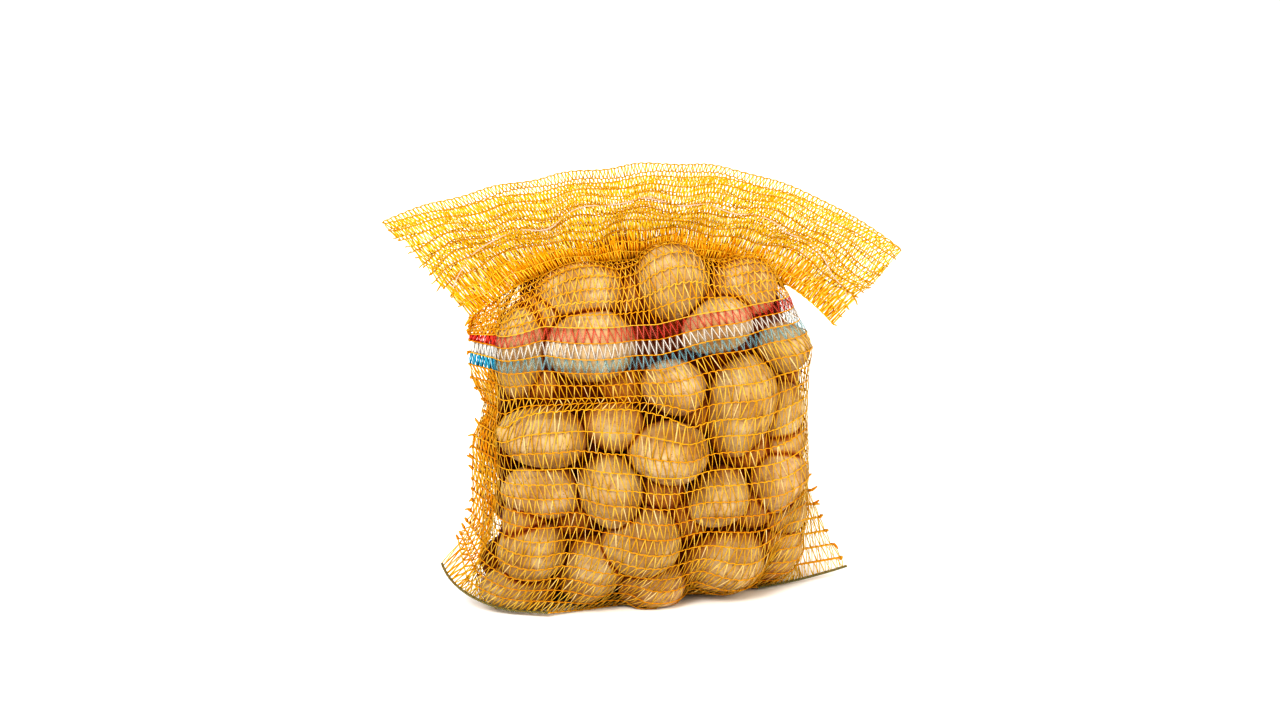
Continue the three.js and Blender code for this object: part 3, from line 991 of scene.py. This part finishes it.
# Chains stay below the painted glint at the top of the shade ramp.
CHAIN_SHADE = 0.85
STEPS_PER_STITCH = 2
SCALLOP_BELOW, SCALLOP_BAND, SCALLOP_ABOVE = 0.5, 0.2, 1.1
# Painted shade of the gathered neck: a lower shade number there deepens the colour.
NECK_SHADE_ROWS = [NECK_ROW - 2, NECK_ROW, NECK_ROW + 2, NECK_ROW + 5]
NECK_SHADE = [1, 0.6, 0.85, 1]
phase = dice.uniform(0, 2, size=(2, TOP_ROW + 1))


def chains(panel, row_list, first, last, slack=1.0, stout=1.0):
    steps = int(STEPS_PER_STITCH * (last - first)) + 1
    row = np.array(row_list)[:, None] * np.ones(steps)
    column = np.linspace(first, last, steps) * np.ones_like(row)
    number = row.astype(int)
    above = phase[panel][number]
    below = phase[panel][np.maximum(number - 1, 0)]
    height = np.where(number < ROWS_BELOW, SCALLOP_BELOW, SCALLOP_BAND)
    height = np.where(number > BAND_ROW, SCALLOP_ABOVE, height) * slack
    wave = height * (np.cos(math.pi * (column - above)) - np.cos(math.pi * (column - 1 - below)))
    normals = on_net(facing, panel, row, column)
    path = on_net(net, panel, row, column) + on_net(upward, panel, row, column) * (wave / 2)[..., None]
    radius = stout * (CHAIN_RADIUS + CHAIN_KNOB * np.cos(2 * math.pi * column))
    swept = sweep(path, normals, radius, radius * CHAIN_FLATNESS, CHAIN_SIDES)
    # Painted shade at the gathered neck.
    gathered = np.interp(np.array(row_list), NECK_SHADE_ROWS, NECK_SHADE)
    shade = dice.uniform(0, CHAIN_SHADE, len(row_list)) * gathered
    return swept, np.repeat(shade, steps * CHAIN_SIDES)


print("rows with a phase of their own:", phase.shape[1])

# %% [markdown]
# Each zigzag leg is a flat tape, and whole rows of legs lean over where the net has slipped sideways. A
# leg may be slanted, crowded, puffed out or several rows tall, and chance gives each its own place, width
# and shade.

# %% Zigzags
TAPE_THICKNESS = 0.16
LEG_SIDES = 4
LEG_SHARE = np.array([0, 0.5, 1])
LEG_JITTER = 0.1
LEAN_ROWS = [2, 3.5, 5, 8, 10, 12, 14, 15.5, 17]
LEAN = [0.6, 0.8, 0, -0.5, -0.9, 0.2, 0.9, -0.8, -1.3]
LEAN_WAVE, LEAN_WAVES = 0.2, 0.07
LEAN_ABOVE = 0.1


def zigzag(panel, row_list, first, last, half_width, slant=1.0, density=1.0, puff=0.7, tall=1):
    legs = int((last - first) * density)
    leg = np.arange(legs)[None, :] * np.ones((len(row_list), 1))
    row = np.array(row_list)[:, None] * np.ones((1, legs))
    start = first + leg / density + phase[panel][row.astype(int)] - 1
    slipped = np.interp(row, LEAN_ROWS, LEAN) + LEAN_WAVE * np.sin(row + LEAN_WAVES * start)
    lean = np.where(row < ROWS_BELOW, slipped, LEAN_ABOVE)
    middle = start + 0.5
    half = np.where(leg % 2 == 0, slant, -slant) / 2
    bottom = middle - half + dice.normal(0, LEG_JITTER, row.shape)
    top = middle + half + lean + dice.normal(0, LEG_JITTER, row.shape)
    column = np.clip(bottom[..., None] + (top - bottom)[..., None] * LEG_SHARE, first, last)
    ragged = np.where(tall > 1, dice.uniform(0.5, 1.1, row.shape), 1)
    height = row[..., None] + tall * ragged[..., None] * LEG_SHARE
    fullness = puff * dice.uniform(0.15, 1, row.shape)[..., None]
    bulge = (fullness * 4 * LEG_SHARE * (1 - LEG_SHARE))[..., None]
    normals = on_net(facing, panel, height, column)
    path = on_net(net, panel, height, column) + normals * bulge
    width = half_width * dice.uniform(0.75, 1.25, row.shape)
    bends = len(LEG_SHARE)
    swept = sweep(
        path.reshape(-1, bends, 3), normals.reshape(-1, bends, 3), width.reshape(-1, 1),
        TAPE_THICKNESS, LEG_SIDES,
    )
    # A tone by chance, with the painted shade of the gathered neck.
    shade = dice.uniform(0, 1, row.shape) * np.interp(row, NECK_SHADE_ROWS, NECK_SHADE)
    return swept, np.repeat(shade.ravel(), bends * LEG_SIDES)


def on_both(make, row_list, span, **style):
    """The same rows on the front and on the back."""
    return [make(panel, row_list, *span, **style) for panel in (FRONT, BACK)]


print("rows that lean over:", LEAN_ROWS)

# %% [markdown]
# Now the net is knitted piece by piece. Below the band, chains and tapes are two pieces, because they
# differ in colour. The shoulder above the band is drawn in towards the neck: its tapes are narrower, and
# chains and tapes look alike.

# %% Net of the body and the shoulder
BODY_LEGS = {"half_width": 0.58, "slant": 0.75}
SHOULDER_LEGS = {"half_width": 0.5}
BODY_SPAN = (LEFT_SEAM, RIGHT_SEAM)
below_rows = list(range(ROWS_BELOW))
above_rows = list(range(BAND_ROW, NECK_ROW))
body_chains = joined("body_chains", on_both(chains, list(range(BAND_ROW)), BODY_SPAN))
body_tapes = joined("body_tapes", on_both(zigzag, below_rows, BODY_SPAN, **BODY_LEGS))
shoulder_parts = on_both(chains, above_rows, BODY_SPAN)
shoulder_parts += on_both(zigzag, above_rows, BODY_SPAN, **SHOULDER_LEGS)
shoulder_net = joined("shoulder_net", shoulder_parts)

# %% [markdown]
# The loose mouth has crowded legs, and its chains are hardly scalloped. At the neck the net is gathered,
# so its rows are a piece of their own with thin chains. The gathered tapes form upright folds there: wide
# legs up to three rows tall that bend inwards behind the front.

# %% Net of the mouth and the neck
MOUTH_CHAINS = {"slack": 0.5, "stout": 1.05}
MOUTH_LEGS = {"half_width": 0.56, "slant": 0.5, "density": 2.1, "puff": 0.2}
NECK_CHAINS = {"slack": 0.6, "stout": 0.8}
NECK_FRONT_LEGS = {"half_width": 0.62, "slant": 0.4, "density": 1.0, "puff": 0.2}
NECK_BACK_LEGS = {"half_width": 0.8, "slant": 0.4, "density": 1.3, "puff": 0.2}
FOLD_LEGS = {"half_width": 0.9, "slant": 0.3, "density": 1.4, "puff": -1.2, "tall": 3}
MOUTH_SPAN = (0, COLUMNS)
SLACK_ROW = NECK_ROW + 3
neck_rows = list(range(NECK_ROW, SLACK_ROW))
slack_rows = list(range(SLACK_ROW, TOP_ROW))
mouth_chains = joined("mouth_chains", on_both(chains, slack_rows + [TOP_ROW], MOUTH_SPAN, **MOUTH_CHAINS))
mouth_tapes = joined("mouth_tapes", on_both(zigzag, slack_rows, MOUTH_SPAN, **MOUTH_LEGS))
neck_tapes = joined("neck_tapes", on_both(chains, neck_rows, MOUTH_SPAN, **NECK_CHAINS) + [
    zigzag(FRONT, neck_rows, *MOUTH_SPAN, **NECK_FRONT_LEGS),
    zigzag(BACK, neck_rows, *MOUTH_SPAN, **NECK_BACK_LEGS),
])
neck_folds = joined("neck_folds", [zigzag(FRONT, [NECK_ROW], *MOUTH_SPAN, **FOLD_LEGS)])

# %% [markdown]
# The band is three rows of coloured tape: red, white and blue from the top. The tapes are wide and so
# thin that the potatoes show through, with a denser line where a tape is folded. Each is made twice, as a
# narrow tape and as a wide faint one. Outside the seam the tapes are crumpled together and their colours
# are full.

# %% Coloured band
BAND_ROWS = {"red": BAND_ROW - 1, "white": BAND_ROW - 2, "blue": BAND_ROW - 3}
BAND_FOLD = {"red": 0.38, "white": 0.48, "blue": 0.4}
BAND_FILM = 1.6
BAND_END_LEGS = {"half_width": 0.8, "slant": 0.5, "density": 1.6}
LEFT_LAP = (0, LEFT_SEAM + 1)
band_tapes, band_films, band_ends = {}, {}, {}
for dye, row in BAND_ROWS.items():
    parts = on_both(zigzag, [row], BODY_SPAN, half_width=BAND_FOLD[dye])
    band_tapes[dye] = joined(f"band_{dye}", parts)
for dye, row in BAND_ROWS.items():
    band_films[dye] = joined(f"band_{dye}_film", on_both(zigzag, [row], BODY_SPAN, half_width=BAND_FILM))
for dye, row in BAND_ROWS.items():
    band_ends[dye] = joined(f"band_{dye}_end", on_both(zigzag, [row], LEFT_LAP, **BAND_END_LEGS))

# %% [markdown]
# The edges beside the seams are the same net in two layers. Where each chain was cut, a tuft of its end
# stands out: a short strand that gets thinner and bends off by chance.

# %% Cut ends of the chains
TUFT_LENGTH = 4
TUFT_BEND = 0.5
TUFT_SHARE = np.array([-0.3, 0.3, 0.7, 1])
TUFT_RADIUS = np.array([0.9, 0.8, 0.7, 0.4])
TUFT_SHADE = 0.6
TUFT_ROOT = 2


def tufts(panel, row_list, column, stout):
    """Short frayed ends of the chains at a cut edge."""
    row = np.array(row_list, float)
    at = np.full_like(row, column)
    root = on_net(net, panel, row, at)
    inside = on_net(net, panel, row, np.full_like(row, abs(column - TUFT_ROOT)))
    normals = on_net(facing, panel, row, at)
    out = unit(root - inside)
    length = TUFT_LENGTH * dice.uniform(0.4, 1, len(row))[:, None] ** 2
    bend = dice.normal(0, TUFT_BEND, (len(row), 3))
    share = TUFT_SHARE[None, :, None]
    path = root[:, None] + out[:, None] * length[:, None] * share
    path = path + bend[:, None] * length[:, None] * share ** 2
    path[..., 2] = np.maximum(path[..., 2], FLOOR_CLEARANCE)
    radius = stout * TUFT_RADIUS[None, :]
    bends = len(TUFT_SHARE)
    swept = sweep(path, np.repeat(normals[:, None], bends, 1), radius, radius, LEG_SIDES)
    return swept, np.repeat(dice.uniform(0, TUFT_SHADE, len(row)), bends * LEG_SIDES)


print("longest cut end:", TUFT_LENGTH)

# %% [markdown]
# The left edge runs all the way up to the neck, and the right one is only an ear at the bottom. Chains
# are stouter there, because two layers lie together.

# %% Side edges
EDGE_STOUT, EDGE_TUFT, MOUTH_TUFT = 1.3, 1.4, 0.8
LEFT_LEGS = {"half_width": 0.62, "slant": 0.6, "density": 1.7}
EAR_FRONT_LEGS = {"half_width": 0.38, "slant": 0.8}
EAR_BACK_LEGS = {"half_width": 0.38, "slant": 0.8, "density": 0.5}
RIGHT_SPAN = (RIGHT_SEAM, COLUMNS)


def edge_chains(name, row_list, first, last, cut):
    parts = []
    for panel in (FRONT, BACK):
        parts.append(chains(panel, row_list, first, last, stout=EDGE_STOUT))
        parts.append(tufts(panel, row_list[1:], cut, EDGE_TUFT))
    return joined(name, parts)


ear_rows = list(range(RIGHT_EDGE["rows"]))
edge_left = edge_chains("edge_left", list(range(NECK_ROW)), 0, LEFT_SEAM, 0)
edge_right = edge_chains("edge_right", ear_rows, *RIGHT_SPAN, COLUMNS)
edge_left_tapes = joined("edge_left_tapes", on_both(zigzag, below_rows + above_rows, LEFT_LAP, **LEFT_LEGS))
edge_right_tapes = joined("edge_right_tapes", [
    zigzag(FRONT, ear_rows, *RIGHT_SPAN, **EAR_FRONT_LEGS),
    zigzag(BACK, ear_rows, *RIGHT_SPAN, **EAR_BACK_LEGS),
])
mouth_ends = joined("mouth_ends", [
    tufts(panel, neck_rows + slack_rows, column, MOUTH_TUFT)
    for panel in (FRONT, BACK) for column in MOUTH_SPAN
])

# %% [markdown]
# ## Tape finish
# The tape is drawn polyethylene: glossy, deep golden, and it lets light through, so that it glows where
# light comes from behind. A Translucent shader mixed into the Principled one gives that glow. Thin
# streaks run through it, and each stitch is a little lighter or deeper than the next. The palest
# stitches, at the top of the shade ramp, are painted glints. The chains get the first such tape.

# %% Tape shader
# Painted glint: how far the palest stitches are lightened towards white.
GLINT_PALEST = 0.95
GLINT_SHARE = 0.35


def mix_shaders(tree, share, first, second):
    node = add(tree, "ShaderNodeMixShader", {"Fac": share})
    tree.links.new(first, node.inputs[1])
    tree.links.new(second, node.inputs[2])
    return node.outputs["Shader"]


def tape(name, deep, light, glow, clear=0.0, roughness=0.36):
    material, tree, surface, output, place = new_material(name)
    shade = add(tree, "ShaderNodeAttribute", attribute_name="shade").outputs["Fac"]
    streaks = add(tree, "ShaderNodeTexNoise", {"Vector": place, "Scale": 700, "Detail": 2}).outputs["Fac"]
    # Painted glint at the top of the ramp.
    pale = [lerp(channel, GLINT_PALEST, GLINT_SHARE) for channel in light]
    base = ramp(tree, shade, [(0, deep), (0.88, light), (1, pale)])
    streak = ramp(tree, streaks, [(0.35, (0.82, 0.80, 0.76)), (0.65, (1, 1, 1))])
    colour = blend(tree, 1.0, base, streak, "MULTIPLY")
    tree.links.new(colour, surface.inputs["Base Color"])
    surface.inputs["Roughness"].default_value = roughness
    surface.inputs["Specular IOR Level"].default_value = 0.2
    through = add(tree, "ShaderNodeBsdfTranslucent", {"Color": colour}).outputs["BSDF"]
    result = mix_shaders(tree, glow, surface.outputs["BSDF"], through)
    if clear:
        window = add(tree, "ShaderNodeBsdfTransparent").outputs["BSDF"]
        result = mix_shaders(tree, clear, result, window)
    tree.links.new(result, output.inputs["Surface"])
    return material


chain_gold = tape("golden chain", (0.72, 0.33, 0.004), (0.84, 0.49, 0.03), 0.25)
for piece in (body_chains, mouth_ends):
    piece.data.materials.append(chain_gold)

# %% [markdown]
# The tape is one golden plastic, but loose tape is painted lighter than tape that lies on the potatoes, and
# the layers of an edge or a fold are painted deeper: painted light and painted shade. So the golds differ
# from piece to piece: the deep end of the colour, the light end and the glow.

# %% Golden tapes
# One tape, painted lighter where loose and deeper in layers: painted light and painted shade.
GOLDS = [
    ("golden tape", (0.62, 0.35, 0.008), (0.80, 0.58, 0.12), 0.3, [body_tapes]),
    ("slack tape", (0.93, 0.62, 0.010), (0.95, 0.74, 0.07), 0.5, [mouth_tapes]),
    ("slack chain", (0.62, 0.30, 0.004), (0.76, 0.46, 0.03), 0.3, [mouth_chains]),
    ("neck tape", (0.92, 0.54, 0.015), (0.95, 0.72, 0.13), 0.3, [neck_tapes]),
    ("folded tape", (0.95, 0.44, 0.004), (0.95, 0.57, 0.02), 0.4, [neck_folds]),
    ("shoulder tape", (0.74, 0.39, 0.008), (0.86, 0.58, 0.10), 0.25, [shoulder_net]),
    ("edge tape", (0.88, 0.42, 0.004), (0.95, 0.66, 0.10), 0.5, [edge_left, edge_right]),
    ("flange tape", (0.90, 0.46, 0.005), (0.95, 0.68, 0.09), 0.5, [edge_left_tapes]),
    ("ear tape", (0.86, 0.56, 0.01), (0.95, 0.76, 0.12), 0.5, [edge_right_tapes]),
]
for name, deep, light, glow, pieces in GOLDS:
    material = tape(name, deep, light, glow)
    for piece in pieces:
        piece.data.materials.append(material)

# %% [markdown]
# The coloured tapes let part of the view through, the wide films most of it. That is a Transparent
# shader, mixed in by the last number of each line.

# %% Coloured tapes
BAND_GLOW = 0.3
DYES = [
    ("red tape", (0.66, 0.07, 0.05), (0.84, 0.18, 0.13), 0.3, [band_tapes["red"]]),
    ("white tape", (0.72, 0.69, 0.64), (0.88, 0.86, 0.83), 0, [band_tapes["white"], band_ends["white"]]),
    ("blue tape", (0.24, 0.54, 0.66), (0.46, 0.72, 0.78), 0.55, [band_tapes["blue"]]),
    ("red film", (0.60, 0.11, 0.07), (0.74, 0.22, 0.16), 0.87, [band_films["red"]]),
    ("white film", (0.50, 0.45, 0.40), (0.62, 0.58, 0.54), 0.84, [band_films["white"]]),
    ("blue film", (0.18, 0.40, 0.46), (0.36, 0.56, 0.60), 0.86, [band_films["blue"]]),
    ("full red tape", (0.66, 0.05, 0.03), (0.82, 0.12, 0.08), 0, [band_ends["red"]]),
    ("full blue tape", (0.01, 0.34, 0.56), (0.08, 0.52, 0.70), 0, [band_ends["blue"]]),
]
for name, deep, light, clear, pieces in DYES:
    material = tape(name, deep, light, BAND_GLOW, clear)
    for piece in pieces:
        piece.data.materials.append(material)

# %% [markdown]
# The frame is told which solid each piece of net stands for. The filled part of the net belongs to the
# fill, the empty part to the mouth, and the strips beside the seams to the side edges.

# %% Hand the net to the frame
for piece in (body_chains, body_tapes, shoulder_net, *band_tapes.values(), *band_films.values()):
    finished(piece, "net", "potato_fill")
for piece in (mouth_chains, mouth_tapes, neck_tapes, neck_folds, mouth_ends):
    finished(piece, "net", "net_collar")
for piece in (edge_left, edge_left_tapes, *band_ends.values()):
    finished(piece, "net", "side_edge_left")
for piece in (edge_right, edge_right_tapes):
    finished(piece, "net", "side_edge_right")

# %% [markdown]
# ## Threads
# The bottom edge of the sack is turned over and closed with a grey-green thread that winds round it. It
# shows along the two ears. A screw modifier can't follow a bent line, so the winding is worked out along
# it, two strands for each thread.

# %% Hem thread
HEM_RADIUS = 0.8
HEM_LIFT = 0.8
HEM_TURNS_PER_MM = 0.36
HEM_STRAND = 0.42
STEPS_PER_TURN = 8


def winding(line, radius, turns_per_mm, start):
    """Points that wind round a line."""
    count = int(line_length(line) * turns_per_mm * STEPS_PER_TURN)
    line = even_points(line, count)
    forward = unit(np.gradient(line, axis=0))
    sideways = unit(np.cross(forward, (0, 0, 1)))
    lift = np.cross(sideways, forward)
    angle = (start + 2 * math.pi * np.arange(count) / STEPS_PER_TURN)[:, None]
    return line + radius * (sideways * np.cos(angle) + lift * np.sin(angle)), lift


def twisted(name, line, radius, turns_per_mm, strand, sides):
    """Two strands wound round a line."""
    parts = []
    for start in (0, math.pi):
        path, lift = winding(line, radius, turns_per_mm, start)
        swept = sweep(path[None], lift[None], strand, strand, sides)
        # The shade number runs once round each strand, from the deep end of the ramp to the painted glint.
        parts.append((swept, np.tile(np.linspace(0, 1, sides), len(path))))
    return joined(name, parts)


hem_thread = tape("hem thread", (0.12, 0.14, 0.08), (0.28, 0.30, 0.18), 0.05, roughness=0.8)
for node, edge in (("hem_left", LEFT_EDGE), ("hem_right", RIGHT_EDGE)):
    line = edge_point(edge, np.linspace(1, HEM_VISIBLE, 30), 0)
    line[:, 2] = np.maximum(line[:, 2], HEM_RADIUS + HEM_LIFT)
    piece = twisted(f"{node}_thread", line, HEM_RADIUS, HEM_TURNS_PER_MM, HEM_STRAND, LEG_SIDES)
    piece.data.materials.append(hem_thread)
    finished(piece, "hem_thread", node)

# %% [markdown]
# A pale soft thread is drawn through the mouth, half way up. It is two strands twisted together, and it
# dips in and out of the net. Its line is read off the grid, so that it stays in the net's surface.

# %% Draw thread
THREAD_REACH = 0.97
THREAD_UP, THREAD_SAG, THREAD_POWER = 0.65, 0.5, 0.8
THREAD_OUT, THREAD_DIP = 0.5, 1.1
THREAD_RADIUS, THREAD_STRAND = 0.3, 0.38
THREAD_TURNS_PER_MM = 0.16
s = np.linspace(-THREAD_REACH, THREAD_REACH, 240)
thread_row = NECK_ROW + ROWS_MOUTH * (THREAD_UP - THREAD_SAG * s * s) ** THREAD_POWER
thread_column = (s + 1) / 2 * COLUMNS
weave = THREAD_OUT + THREAD_DIP * np.sin(34 * s + 2 * np.sin(5 * s))
thread_line = on_net(net, FRONT, thread_row, thread_column)
thread_line = thread_line + on_net(facing, FRONT, thread_row, thread_column) * weave[:, None]
draw_thread = twisted(
    "pale_thread", thread_line, THREAD_RADIUS, THREAD_TURNS_PER_MM, THREAD_STRAND, CHAIN_SIDES,
)
pale_thread = tape("pale thread", (0.72, 0.46, 0.34), (0.86, 0.70, 0.58), 0.2, roughness=0.7)
draw_thread.data.materials.append(pale_thread)
finished(draw_thread, "draw_thread", "draw_thread")
print("length of the draw thread:", line_length(thread_line).round())

# %% [markdown]
# ## Film strip
# A strip of thin whitish film lies behind the neck of the net and shows through it. It is a grid laid
# along the back of the mouth, crumpled with a cloud texture and given a thickness by a Solidify modifier.

# %% Film strip
FILM_FROM, FILM_TO = 0.06, 0.45
FILM_LEFT, FILM_RIGHT = -1.06, 1.02
FILM_BEHIND = 2.2
FILM_DROOP, DROOP_POWER = 7, 10
FILM_THICKNESS = 0.2
bpy.ops.object.select_all(action="DESELECT")
bpy.ops.mesh.primitive_grid_add(x_subdivisions=120, y_subdivisions=16, size=2)
film = bpy.context.object
film.name = "film"
flat = np.array([v.co for v in film.data.vertices])
along_film = lerp(FILM_LEFT, FILM_RIGHT, (flat[:, 0] + 1) / 2)
laid = mouth_point(along_film, lerp(FILM_FROM, FILM_TO, (flat[:, 1] + 1) / 2), BACK)
laid[:, 1] += FILM_BEHIND
laid[:, 2] -= FILM_DROOP * np.abs(flat[:, 0]) ** DROOP_POWER
film.data.vertices.foreach_set("co", (laid * MM).ravel())
wrinkles = bpy.data.textures.new("wrinkles", "CLOUDS")
wrinkles.noise_scale = 0.016
crumple = film.modifiers.new("crumple", "DISPLACE")
crumple.texture = wrinkles
crumple.direction = "Y"
crumple.strength = 0.004
crumple.mid_level = 0.35
thicken = film.modifiers.new("thickness", "SOLIDIFY")
thicken.thickness = FILM_THICKNESS * MM
for name in ("crumple", "thickness"):
    bpy.ops.object.modifier_apply(modifier=name)
bpy.ops.object.mode_set(mode="EDIT")
bpy.ops.mesh.select_all(action="SELECT")
bpy.ops.mesh.normals_make_consistent(inside=False)
bpy.ops.object.mode_set(mode="OBJECT")
bpy.ops.object.shade_smooth()
print("film:", len(film.data.polygons), "faces")

# %% [markdown]
# The film is clear, with a faint whitish haze and a smooth shine. Most of the view passes through a
# Transparent shader, because a refracting one would be slow and noisy for so thin a sheet.

# %% Film finish
FILM_CLEAR = 0.78
clear_film, tree, surface, output, place = new_material("clear film")
haze = add(tree, "ShaderNodeTexNoise", {"Vector": place, "Scale": 60, "Detail": 4}).outputs["Fac"]
cloudy = ramp(tree, haze, [(0.3, (0.82, 0.77, 0.75)), (0.7, (0.90, 0.89, 0.90))])
tree.links.new(cloudy, surface.inputs["Base Color"])
surface.inputs["Roughness"].default_value = 0.22
window = add(tree, "ShaderNodeBsdfTransparent").outputs["BSDF"]
half_clear = mix_shaders(tree, FILM_CLEAR, surface.outputs["BSDF"], window)
tree.links.new(half_clear, output.inputs["Surface"])
film.data.materials.append(clear_film)
finished(film, "film", "film_strip")
